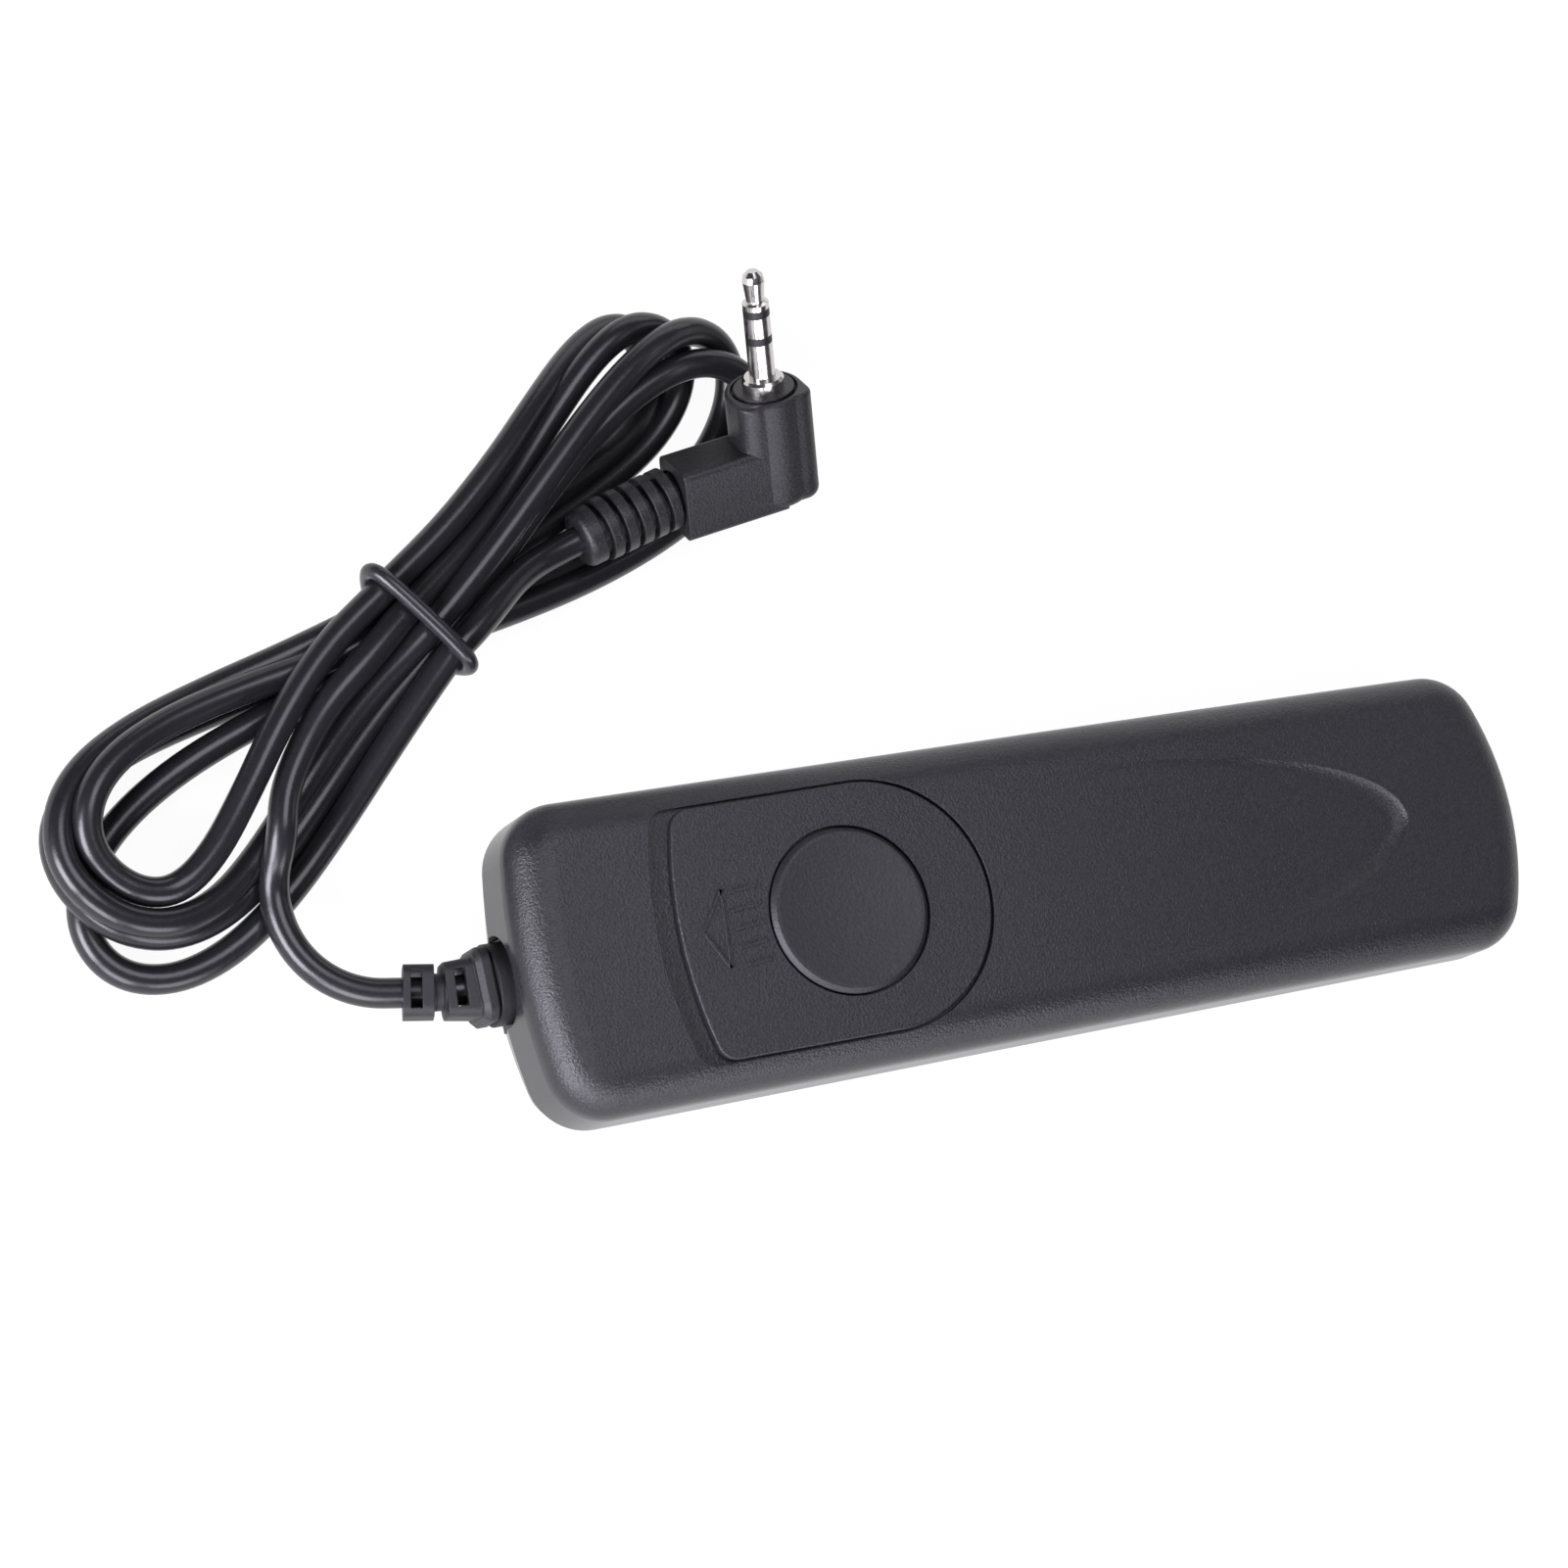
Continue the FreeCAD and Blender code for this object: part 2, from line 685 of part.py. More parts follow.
def make_carrier():
    base = block(stack_x - stack_length / 2, stack_x + stack_length / 2, -stack_width / 2, stack_width / 2,
                 wall, shutter_low)
    for x in pin_places():
        head = disc(pin_head_radius, x, 0, clamp_top, clamp_top + pin_head_height)
        base = base.fuse(disc(pin_radius, x, 0, shutter_low - 1, clamp_top)).fuse(head)
    return base.removeSplitter()


def make_leaf(z_low, tail_y, dimple):
    """Springy strip from the clamped stack to a point under the button, with a solder tail."""
    root = stack_x - stack_length / 2
    strip = block(root, leaf_end_x, -leaf_width / 2, leaf_width / 2, z_low, z_low + leaf_thickness)
    strip = strip.fuse(block(root, stack_x + stack_length / 2, -stack_width / 2, stack_width / 2,
                             z_low, z_low + leaf_thickness))
    tail = block(root - tail_length, root, tail_y - tail_width / 2, tail_y + tail_width / 2,
                 z_low, z_low + leaf_thickness)
    strip = strip.fuse(tail)
    if dimple:
        strip = strip.fuse(disc(contact_dimple_radius, button_x, 0, z_low,
                                z_low + leaf_thickness + contact_dimple_height))
    return cut_pins(strip.removeSplitter())


def stack_plate(z_low, z_high):
    return cut_pins(block(stack_x - stack_length / 2, stack_x + stack_length / 2,
                          -stack_width / 2, stack_width / 2, z_low, z_high))


def make_spacers():
    return Part.makeCompound([
        stack_plate(shutter_low + leaf_thickness, focus_low),
        stack_plate(focus_low + leaf_thickness, common_low),
    ])


def soft_tube(points, radius):
    """Round tube along straight runs joined by tangent arcs, and the smallest arc radius used."""
    points = [V(*point) for point in points]
    edges = []
    start = points[0]
    smallest = float("inf")
    for before, corner, after in zip(points, points[1:], points[2:]):
        run = min((corner - before).Length, (after - corner).Length)
        into = (corner - before).normalize()
        out = (after - corner).normalize()
        half_turn = into.getAngle(out) / 2
        arc_radius = 0.45 * run / math.tan(half_turn)
        smallest = min(smallest, arc_radius)
        first, last = corner - into * (0.45 * run), corner + out * (0.45 * run)
        inward = (out - into).normalize()
        centre = corner + inward * (arc_radius / math.cos(half_turn))
        middle = centre - inward * arc_radius
        edges += [straight(start, first), arc(first, middle, last)]
        start = last
    edges.append(straight(start, points[-1]))
    path = Part.Wire(edges)
    section = Part.Wire(Part.Circle(points[0], points[1] - points[0], radius).toShape())
    tube = path.makePipeShell([section], True, True)
    return tube, path.Length, smallest


def cable_inner_x():
    """X where the cable's jacket ends inside the housing."""
    return cable_end_x + wall + wall_seat + inner_flange_thickness + cable_inner_length


def make_wire(z_low, tail_y, cable_y):
    """Insulated wire from the cable's end to a leaf's solder tail."""
    start_x = cable_inner_x()
    tail_x = stack_x - stack_length / 2 - tail_length
    level = z_low + leaf_thickness + wire_diameter / 2 + wire_gap
    route = [
        (start_x, cable_y, axis_height), (start_x + wire_lead, cable_y, axis_height),
        (tail_x - wire_drop_run, tail_y, level), (tail_x + wire_landing, tail_y, level),
    ]
    return soft_tube(route, wire_diameter / 2)[0]


# ---------------------------------------------------------------- strain relief on the cable
def relief_edges():
    """X of the strain relief's steps, from the end wall outward."""
    plate_face = cable_end_x + plate_recess
    collar_end = cable_end_x - collar_length
    taper_end = collar_end - taper_length
    neck_end = taper_end - neck_length
    free_end = neck_end - end_block_length
    return plate_face, collar_end, taper_end, neck_end, free_end


def tapered_block(x_root, x_end):
    """Block that narrows from the collar to its free end."""
    half_z = block_height / 2

    def section(x, width):
        half = width / 2
        return Part.makePolygon([V(x, -half, axis_height - half_z), V(x, half, axis_height - half_z),
                                 V(x, half, axis_height + half_z), V(x, -half, axis_height + half_z),
                                 V(x, -half, axis_height - half_z)])
    body = Part.makeLoft([section(x_root, taper_width_root), section(x_end, taper_width_end)], True, True)

    def lengthwise(edge):
        low, high = edge.Vertexes[0].Point, edge.Vertexes[-1].Point
        return abs(low.x - high.x) > 1e-6
    return round_edges(body, block_round, lengthwise)


def bend_relief(shape, hinge_x, bend):
    """Turn a part of the strain relief about its middle line at the hinge."""
    pivot = V(hinge_x, 0, axis_height)
    droop, yaw = bend
    shape.rotate(pivot, V(0, 1, 0), -droop)
    shape.rotate(pivot, V(0, 0, 1), -yaw)
    return shape


def hinges():
    """X of the strain relief's two bends before it is bent: at the collar and in the neck."""
    _, collar_end, taper_end, _, _ = relief_edges()
    return collar_end, taper_end - neck_length / 2


def relief_axis():
    """Middle line of the strain relief: inner end of the cable, the two bends, free end."""
    at_collar, at_neck = hinges()
    points = [V(cable_inner_x(), 0, axis_height), V(at_collar, 0, axis_height)]
    for x in (at_neck, relief_edges()[4]):
        vertex = Part.Vertex(x, 0, axis_height)
        if x < at_neck:
            vertex = bend_relief(vertex, at_neck, relief_bends[1])
        points.append(bend_relief(vertex, at_collar, relief_bends[0]).Point)
    return [(point.x, point.y, point.z) for point in points]


def make_collar():
    """Rounded collar outside the end wall with a shadow groove behind it and a round disc at its root."""
    plate_face, collar_end = relief_edges()[:2]
    root_end = cable_end_x - root_disc_length
    half_y, half_z = collar_width / 2, collar_height / 2
    collar = soft_block(collar_end, root_end - groove_width, -half_y, half_y,
                        axis_height - half_z, axis_height + half_z, collar_round)

    def outer_rim(edge):
        return abs(middle_of(edge).x - collar_end) < 1e-3
    collar = bevel_edges(collar, collar_chamfer, outer_rim)
    core = soft_block(root_end - groove_width - overlap, root_end + overlap,
                      groove_depth - half_y, half_y - groove_depth, axis_height - half_z + groove_depth,
                      axis_height + half_z - groove_depth, collar_round)
    root = Part.makeCylinder(root_disc_radius, plate_face + overlap - root_end,
                             V(root_end, 0, axis_height), V(1, 0, 0))
    return collar.fuse(core).fuse(root)


def slotted(shape, x):
    """Cut one window across the strain relief, starting at x."""
    return shape.cut(block(x, x + slot_length, -slot_width / 2, slot_width / 2, 0, 2 * height))


def make_soft_part():
    """Slotted part beyond the collar: tapered block, neck and end block, bent as it hangs."""
    _, collar_end, taper_end, neck_end, free_end = relief_edges()
    at_collar, at_neck = hinges()
    neck = Part.makeCylinder(neck_diameter / 2, neck_length, V(neck_end, 0, axis_height), V(1, 0, 0))
    root = slotted(tapered_block(collar_end + overlap, taper_end), taper_end + slot_a_inset).fuse(neck)
    tail = soft_block(free_end, neck_end, -end_block_width / 2, end_block_width / 2,
                      axis_height - block_height / 2, axis_height + block_height / 2, block_round)
    tail = slotted(tail, free_end + slot_c_inset).fuse(neck)
    tail = bend_relief(tail, at_neck, relief_bends[1])
    return bend_relief(root.fuse(tail), at_collar, relief_bends[0])


def make_grommet():
    plate_face = relief_edges()[0]
    wall_inside = cable_end_x + wall + wall_seat
    plate = window_shape(0, plate_face, wall_inside + overlap)
    flange = window_shape(inner_flange_margin, wall_inside, wall_inside + inner_flange_thickness)
    inset = wall + window_clearance
    flange = flange.common(top_form(inset)).common(cover_form(inset).fuse(upper_space(inset)))
    body = make_collar().fuse(make_soft_part()).fuse(plate).fuse(flange)
    return body.cut(soft_tube(relief_axis(), cable_radius + relief_bore_fit)[0]).removeSplitter()


def make_cable_inner():
    return soft_tube(relief_axis(), cable_radius)[0]


# ---------------------------------------------------------------- hank and tie
def slab(points, z_high):
    """Flat slab under a smooth closed outline."""
    curve = Part.BSplineCurve()
    curve.interpolate([V(x, y, 0) for x, y in points], PeriodicFlag=True)
    return Part.Face(Part.Wire(curve.toShape())).extrude(V(0, 0, z_high))


def lobe(outline, opening):
    """One end of the hank: the bundled turns round their opening, with soft edges."""
    body = slab(outline, lobe_height).cut(slab(opening, lobe_height))
    return round_edges(body, lobe_edge, lambda edge: at_height(0)(edge) or at_height(lobe_height)(edge))


def carried(shape):
    """Cord pieces follow the free end of the strain relief."""
    bend, tip = (V(*point) for point in relief_axis()[2:])
    seat = tip + (bend - tip).normalize() * tube_seat
    shape.translate(seat - V(*exit_route[0]))
    return shape


def across_waist(half_width, z_low, z_high, thickness, corner):
    """Rounded block across the hank at the tie, turned to the hank's heading."""
    shape = block(-thickness / 2, thickness / 2, -half_width, half_width, z_low, z_high)
    if corner > 0:
        def along_x(edge):
            low, high = edge.Vertexes[0].Point, edge.Vertexes[-1].Point
            return abs(low.x - high.x) > 1e-6
        shape = round_edges(shape, corner, along_x)
    shape.rotate(V(0, 0, 0), V(0, 0, 1), waist_heading)
    shape.translate(V(waist_centre[0], waist_centre[1], 0))
    return shape


def make_hank():
    waist = across_waist(waist_width / 2, waist_low, waist_high, waist_length, waist_corner)
    lobes = lobe(left_lobe, left_opening).fuse(lobe(right_lobe, right_opening))
    lobes = lobes.cut(block(low_x[0], low_x[1], low_y[0], low_y[1], low_height, lobe_height + 1))
    slot = across_waist(waist_width, -1, waist_high + 5, tie_diameter + 2 * tie_slot_gap, 0)
    return lobes.cut(slot).fuse(waist)


def make_tie():
    """Closed band round the hank's waist."""
    off = tie_clearance + tie_diameter / 2
    half = waist_width / 2 + off
    low, high = waist_low - off, waist_high + off
    corner = waist_corner + off
    outline = [V(0, half, low + corner), V(0, half, high - corner), V(0, half - corner, high),
               V(0, corner - half, high), V(0, -half, high - corner), V(0, -half, low + corner),
               V(0, corner - half, low), V(0, half - corner, low)]
    shift = corner * (1 - math.sqrt(0.5))
    mids = [V(0, half - shift, high - shift), V(0, shift - half, high - shift),
            V(0, shift - half, low + shift), V(0, half - shift, low + shift)]
    path = Part.Wire([
        straight(outline[0], outline[1]), arc(outline[1], mids[0], outline[2]),
        straight(outline[2], outline[3]), arc(outline[3], mids[1], outline[4]),
        straight(outline[4], outline[5]), arc(outline[5], mids[2], outline[6]),
        straight(outline[6], outline[7]), arc(outline[7], mids[3], outline[0]),
    ])
    section = Part.Wire(Part.Circle(outline[0], V(0, 0, 1), tie_diameter / 2).toShape())
    band = path.makePipeShell([section], True, True)
    band.rotate(V(0, 0, 0), V(0, 0, 1), waist_heading)
    band.translate(V(waist_centre[0], waist_centre[1], 0))
    return band


# ---------------------------------------------------------------- plug, built along its own axes
def plug_placement():
    """Own axes: X toward the cable, Y out of the front face, Z toward the jack's tip."""
    yaw, pitch, tilt = (math.radians(angle) for angle in (plug_yaw, plug_pitch, plug_tilt))
    along = V(-math.cos(yaw) * math.cos(pitch), -math.sin(yaw) * math.cos(pitch), math.sin(pitch))
    level = V(-math.sin(yaw), math.cos(yaw), 0)
    upward = along.cross(level)
    if upward.z < 0:
        upward = upward * -1
    jack = level * math.cos(tilt) + upward * math.sin(tilt)
    front = jack.cross(along)
    x, y, z = plug_centre
    return FreeCAD.Matrix(along.x, front.x, jack.x, x, along.y, front.y, jack.y, y,
                          along.z, front.z, jack.z, z, 0, 0, 0, 1)


def place_plug(shape):
    return shape.transformed(plug_placement(), True)


def make_plug_body():
    radius = boss_radius_round
    front = block(-radius, radius, 0, plug_front_depth, boss_low, boss_high)

    def front_corner(edge):
        return upright(edge) and middle_of(edge).y > plug_front_depth / 2
    front = round_edges(front, boss_front_edge, front_corner)
    boss = front.fuse(disc(radius, 0, 0, boss_low, boss_high)).removeSplitter()
    boss = round_edges(boss, boss_top_edge, at_height(boss_high))
    boss = round_edges(boss, boss_foot_edge, at_height(boss_low))
    arm = block(0, arm_end, -plug_back_depth, plug_front_depth, -arm_half_height, arm_half_height)

    def front_edge(edge):
        point = middle_of(edge)
        return abs(point.y - plug_front_depth) < 0.01 and abs(point.z) > arm_half_height - 0.01

    def back_edge(edge):
        point = middle_of(edge)
        return abs(point.y + plug_back_depth) < 0.01 and abs(point.z) > arm_half_height - 0.01
    arm = round_edges(arm, arm_front_edge, front_edge)
    arm = round_edges(arm, arm_back_edge, back_edge)
    ring_top = boss_high + neck_ring_height
    groove = disc(neck_groove_radius, 0, 0, boss_high - neck_groove_depth, boss_high + 1)
    body = boss.fuse(arm).cut(groove)
    body = body.fuse(disc(neck_ring_radius, 0, 0, boss_high - neck_groove_depth - overlap, ring_top))
    recess = Part.makeCylinder(relief_recess_diameter / 2, relief_recess_depth + 1,
                               V(arm_end - relief_recess_depth, 0, 0), V(1, 0, 0))
    body = body.cut(recess)
    root = disc(jack_root_radius + jack_fit, 0, 0, ring_top - jack_root_depth, ring_top + 1)
    return body.cut(root).removeSplitter()


def make_plug_relief():
    """Ribbed tail: a core with ribs and a round collar at its free end."""
    start = arm_end - relief_recess_depth + relief_clearance
    collar_start = arm_end + rib_start + rib_count * rib_pitch
    end = collar_start + tail_collar_length
    axis = V(1, 0, 0)
    body = Part.makeCylinder(core_diameter / 2, end - start, V(start, 0, 0), axis)
    for index in range(rib_count):
        x = arm_end + rib_start + index * rib_pitch
        body = body.fuse(Part.makeCylinder(rib_diameter / 2, rib_width, V(x, 0, 0), axis))
    collar = Part.makeCylinder(tail_collar_diameter / 2, tail_collar_length, V(collar_start, 0, 0), axis)

    def free_rim(edge):
        return abs(middle_of(edge).x - end) < 1e-3 and edge.Length > tail_collar_diameter
    collar = round_edges(collar, tail_collar_round, free_rim)
    return body.fuse(collar).removeSplitter()


def place_plug_relief(shape):
    """Place the soft tail like the plug, then turn it level with the ground about the arm's end."""
    shape = place_plug(shape)
    shape.rotate(plug_placement().multVec(V(arm_end, 0, 0)), V(0, 0, 1), relief_turn)
    return shape


def jack_levels():
    """Levels along the jack, from the flange's foot to the tip's end."""
    foot = boss_high + neck_ring_height
    face = foot + jack_flange_height
    tip = face + jack_length
    ring_top = tip - tip_length - insulator_length
    ring_low = ring_top - ring_length
    sleeve_top = ring_low - insulator_length
    return {"foot": foot, "face": face, "sleeve_top": sleeve_top, "ring_low": ring_low,
            "ring_top": ring_top, "tip": tip}


def make_sleeve():
    level = jack_levels()
    flange = disc(jack_flange_diameter / 2, 0, 0, level["foot"], level["face"])
    flange = bevel_edges(flange, jack_flange_chamfer, at_height(level["face"]))
    root = disc(jack_root_radius, 0, 0, level["foot"] - jack_root_depth, level["foot"])
    sleeve = disc(jack_radius, 0, 0, level["foot"], level["sleeve_top"])
    bore = disc(tip_rod_radius + jack_fit, 0, 0, 0, level["tip"])
    return flange.fuse(root).fuse(sleeve).cut(bore).removeSplitter()


def make_ring():
    level = jack_levels()
    band = disc(jack_radius, 0, 0, level["ring_low"], level["ring_top"])
    return band.cut(disc(tip_rod_radius + jack_fit, 0, 0, 0, level["tip"]))


def make_insulators():
    level = jack_levels()
    collars = []
    for low in (level["sleeve_top"], level["ring_top"]):
        band = disc(jack_radius, 0, 0, low, low + insulator_length)
        collars.append(band.cut(disc(tip_rod_radius + jack_fit, 0, 0, 0, level["tip"])))
    return Part.makeCompound(collars)


def make_tip():
    """Tip contact: shoulder, waist, bulb and blunt point, on the rod that runs down the jack."""
    level = jack_levels()
    tip = level["tip"]
    low = tip - tip_length
    rod_low = level["foot"] - jack_root_depth
    shoulder = low + tip_shoulder_length
    bulb = tip - tip_nose_length
    cheek = tip - tip_cheek_length
    profile = [
        (0, rod_low), (tip_rod_radius, rod_low), (tip_rod_radius, low), (jack_radius, low),
        (jack_radius, shoulder), (tip_waist_radius, shoulder + tip_shoulder_taper),
        (tip_waist_radius, bulb - tip_bulb_rise), (tip_bulb_radius, bulb), (tip_cheek_radius, cheek),
        (tip_point_radius, tip), (0, tip),
    ]
    points = [V(radius, 0, z) for radius, z in profile]
    outline = Part.makePolygon(points + points[:1])
    return Part.Face(outline).revolve(V(0, 0, 0), V(0, 0, 1), 360)


# ---------------------------------------------------------------- the whole assembly
def main():
    os.makedirs("parts", exist_ok=True)
    save("top_housing", make_top_housing())
    save("bottom_cover", make_bottom_cover())
    save("housing_screws", make_screws())
    save("hold_slider", make_slider())
    save("shutter_button", make_button())
    save("contact_carrier", make_carrier())
    save("contact_leaf_common", make_leaf(common_low, tail_pitch, False))
    save("contact_leaf_focus", make_leaf(focus_low, 0.0, True))
    save("contact_leaf_shutter", make_leaf(shutter_low, -tail_pitch, True))
    save("leaf_spacers", make_spacers())
    save("leaf_clamp", stack_plate(clamp_low, clamp_top))
    save("wire_common", make_wire(common_low, tail_pitch, wire_pitch))
    save("wire_focus", make_wire(focus_low, 0.0, 0.0))
    save("wire_shutter", make_wire(shutter_low, -tail_pitch, -wire_pitch))
    save("cable_grommet", make_grommet())
    save("cable_inner_end", make_cable_inner())
    for name, route in (("cable_exit", exit_route), ("cable_plug_end", plug_end_route)):
        tube, path_length, smallest = soft_tube(route, cable_radius)
        expected = math.pi * cable_radius ** 2 * path_length
        save(name, carried(tube))
        print(name, "path", round(path_length, 2), "smallest bend radius", round(smallest, 2),
              "volume / (section x path)", round(tube.Volume / expected, 4))
    save("cable_hank", carried(make_hank()))
    save("cable_tie", carried(make_tie()))
    save("plug_strain_relief", carried(place_plug_relief(make_plug_relief())))
    for name, make in (("plug_body", make_plug_body), ("jack_sleeve", make_sleeve),
                       ("jack_ring", make_ring), ("jack_insulators", make_insulators),
                       ("jack_tip", make_tip)):
        save(name, carried(place_plug(make())))


main()
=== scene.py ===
import math

import bmesh
import bpy
from mathutils import Matrix, Vector


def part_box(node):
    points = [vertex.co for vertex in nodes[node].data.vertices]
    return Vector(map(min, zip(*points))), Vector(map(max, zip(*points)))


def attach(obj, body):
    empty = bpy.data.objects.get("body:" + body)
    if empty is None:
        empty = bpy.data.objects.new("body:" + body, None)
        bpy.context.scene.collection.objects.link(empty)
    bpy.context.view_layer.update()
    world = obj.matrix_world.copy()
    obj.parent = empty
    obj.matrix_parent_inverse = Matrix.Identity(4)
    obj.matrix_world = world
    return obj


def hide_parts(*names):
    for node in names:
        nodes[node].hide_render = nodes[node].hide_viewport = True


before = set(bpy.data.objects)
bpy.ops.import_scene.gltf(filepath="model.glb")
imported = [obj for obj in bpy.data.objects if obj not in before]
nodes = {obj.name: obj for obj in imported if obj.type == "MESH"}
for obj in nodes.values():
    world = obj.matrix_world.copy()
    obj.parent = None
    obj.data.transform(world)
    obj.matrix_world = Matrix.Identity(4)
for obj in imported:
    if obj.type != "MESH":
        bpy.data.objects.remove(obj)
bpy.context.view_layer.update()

MM = 0.001

# ---------------------------------------------------------------- camera
# Three-quarter view from above the cable end, rolled so that the handset lies slightly tilted.
camera_azimuth = math.radians(-69.19)
camera_elevation = math.radians(65.48)
camera_roll = math.radians(58.32)
camera_distance = 450 * MM
camera_aim = (18.74 * MM, -12.22 * MM)      # the origin's place, right of and above the middle
sensor_width = 36
camera_lens = 107.78


def make_camera():
    cos_a, sin_a = math.cos(camera_azimuth), math.sin(camera_azimuth)
    cos_e, sin_e = math.cos(camera_elevation), math.sin(camera_elevation)
    back = Vector((sin_a * cos_e, -cos_a * cos_e, sin_e))
    level = Vector((cos_a, sin_a, 0))
    upward = back.cross(level)
    cos_r, sin_r = math.cos(camera_roll), math.sin(camera_roll)
    right = cos_r * level + sin_r * upward
    up = -sin_r * level + cos_r * upward
    data = bpy.data.cameras.new("camera")
    data.sensor_width = sensor_width
    data.lens = camera_lens
    data.clip_start = 0.01
    camera = bpy.data.objects.new("camera", data)
    bpy.context.scene.collection.objects.link(camera)
    place = back * camera_distance - right * camera_aim[0] - up * camera_aim[1]
    turn = Matrix((right, up, back)).transposed().to_4x4()
    camera.matrix_world = Matrix.Translation(place) @ turn
    bpy.context.scene.camera = camera


# ---------------------------------------------------------------- cord
cable_diameter = 2.8
cable_mouth = (-59.4, 0.65, 6.62)           # inside the strain relief's end
# From the strain relief to the hank, with the same points as in part.py, then up into the hank.
exit_route = [
    (-60.37, 0.84, 6.38), (-63.64, 1.48, 5.55), (-66.5, 3.25, 4.83),
    (-68.59, 5.94, 4.3), (-69.67, 9.32, 4.02), (-69.52, 13.06, 4.03),
]
exit_climb = [
    (-68.5, 16.5, 6.5), (-67.5, 20.5, 6.5), (-65, 24.5, 7), (-62, 28, 8), (-58, 31, 8.5),
]
plug_lead = [(-48, 31.8, 8.3), (-45, 34.2, 8)]      # from the waist toward the plug
plug_end_route = [(-41.4, 37.2, 6.9), (-37.4, 39.05, 5.95), (-33.6, 40.2, 6.27)]

waist_centre = (-52.2, 34.1)
waist_heading = math.radians(37)            # from +X toward +Y
row_high, row_middle, row_low = 8.05, 5.62, 3.2
# Lanes of the passes under the tie, in the cord's own order: (place across, height).
waist_lanes = [
    (1.4, row_high), (0.0, row_middle), (4.2, row_high), (2.8, row_middle), (-1.4, row_high),
    (1.4, row_low), (-2.8, row_middle), (-1.4, row_low), (-4.2, row_high),
]
# One entry per turn, in the cord's own order: side, reach, (width, pinch) of its upper half and of
# its lower half, aim in degrees, lean, and its height at each sixth of the way round. Pinch narrows
# a half near the waist, aim swings the whole turn and lean moves its tip, both toward its upper side.
RIGHT, LEFT = 1, -1
turns = [
    (RIGHT, 40, (13, 1), (11, 1), -6, 4, (6, 8, 5, 2, 2.5)),
    (LEFT, 37, (16, 0.2), (18, 1.2), 8, 0, (5.5, 7.5, 6, 5, 8)),
    (RIGHT, 39, (9, 1), (14, 1), -6, 7, (8, 4.5, 2, 2, 4.5)),
    (LEFT, 40, (17, 0.6), (20, 0.6), 13, -4, (3, 6, 6.5, 5, 2.5)),
    (RIGHT, 43, (14, 0), (12, 0), -17, 9, (9.5, 9.5, 5, 1.5, 1.5)),
    (LEFT, 40, (20, 0.6), (18, 0.6), 6, 0, (1.5, 2.5, 4, 2.5, 1.5)),
    (RIGHT, 42, (14, 0), (12, 0), -13, 2, (7, 8, 6, 3.5, 1.5)),
    (LEFT, 42, (16, 0.2), (15, 0.2), 5, -4, (4, 1.5, 1.5, 1.5, 1.5)),
]
points_per_turn = 14

tie_diameter = 1.5
# Control points of half the band, from its top to its bottom: (place across, height).
tie_half = [(4.6, 10.3), (6.5, 9.0), (5.9, 6.7), (3.4, 2.3), (2.0, 1.0)]


def waist_point(along, across, z):
    """Point given along and across the hank, from the middle of its tied waist."""
    cos_h, sin_h = math.cos(waist_heading), math.sin(waist_heading)
    x = waist_centre[0] + along * cos_h - across * sin_h
    y = waist_centre[1] + along * sin_h + across * cos_h
    return (x, y, z)


def height_round(stations, share):
    """Height at a share of the way round a turn, blended between its evenly spaced stations."""
    place = share * (len(stations) - 1)
    index = min(int(place), len(stations) - 2)
    rest = place - index
    return stations[index] * (1 - rest) + stations[index + 1] * rest


def turn_points(turn, lane_in, lane_out):
    """One teardrop turn of the hank: out along its upper side, round its tip and back."""
    side, reach, upper_half, lower_half, aim, lean, heights = turn
    stations = [lane_in[1], *heights, lane_out[1]]
    points = []
    for index in range(1, points_per_turn):
        share = index / points_per_turn
        angle = 2 * math.pi * share
        outward = share < 0.5
        along = reach * math.sin(angle / 2)
        width, pinch = upper_half if outward else lower_half
        lane = lane_in if outward else lane_out
        across = width / 2 * math.sin(angle) * math.sin(angle / 2) ** pinch
        across += lean * (along / reach) ** 2 + along * math.tan(math.radians(aim))
        across += lane[0] * math.cos(angle / 2) ** 2
        points.append(waist_point(side * along, across, height_round(stations, share)))
    return points


def cord_points():
    """Control points of the whole cord, from the strain relief to the plug."""
    points = [cable_mouth, *exit_route, *exit_climb]
    for turn, lane_in, lane_out in zip(turns, waist_lanes, waist_lanes[1:]):
        points.append(waist_point(0, *lane_in))
        points += turn_points(turn, lane_in, lane_out)
    points.append(waist_point(0, *waist_lanes[-1]))
    return [*points, *plug_lead, *plug_end_route]


def make_tube(name, points, diameter, closed=False):
    """Smooth round tube on the handset, one NURBS spline with these control points."""
    curve = bpy.data.curves.new(name, "CURVE")
    curve.dimensions = "3D"
    curve.bevel_depth = 1.0                 # times each point's radius, so that the bounds are true
    curve.bevel_resolution = 6
    curve.resolution_u = 6
    spline = curve.splines.new("NURBS")
    spline.points.add(len(points) - 1)
    for point, place in zip(spline.points, points):
        point.co = (*(value * MM for value in place), 1)
        point.radius = diameter / 2 * MM
    spline.order_u = 3
    spline.use_endpoint_u = not closed
    spline.use_cyclic_u = closed
    tube = bpy.data.objects.new(name, curve)
    bpy.context.scene.collection.objects.link(tube)
    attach(tube, "handset")
    return tube


def make_cord():
    cable = make_tube("cable", cord_points(), cable_diameter)
    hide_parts("cable_exit", "cable_hank", "cable_plug_end")
    return cable


def make_tie():
    """Closed rubber band drawn tight round the bundle at its waist."""
    other_half = [(-across, height) for across, height in reversed(tie_half)]
    points = [waist_point(0, across, height) for across, height in tie_half + other_half]
    tie = make_tube("tie_band", points, tie_diameter, closed=True)
    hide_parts("cable_tie")
    return tie


make_camera()
cable = make_cord()
tie = make_tie()


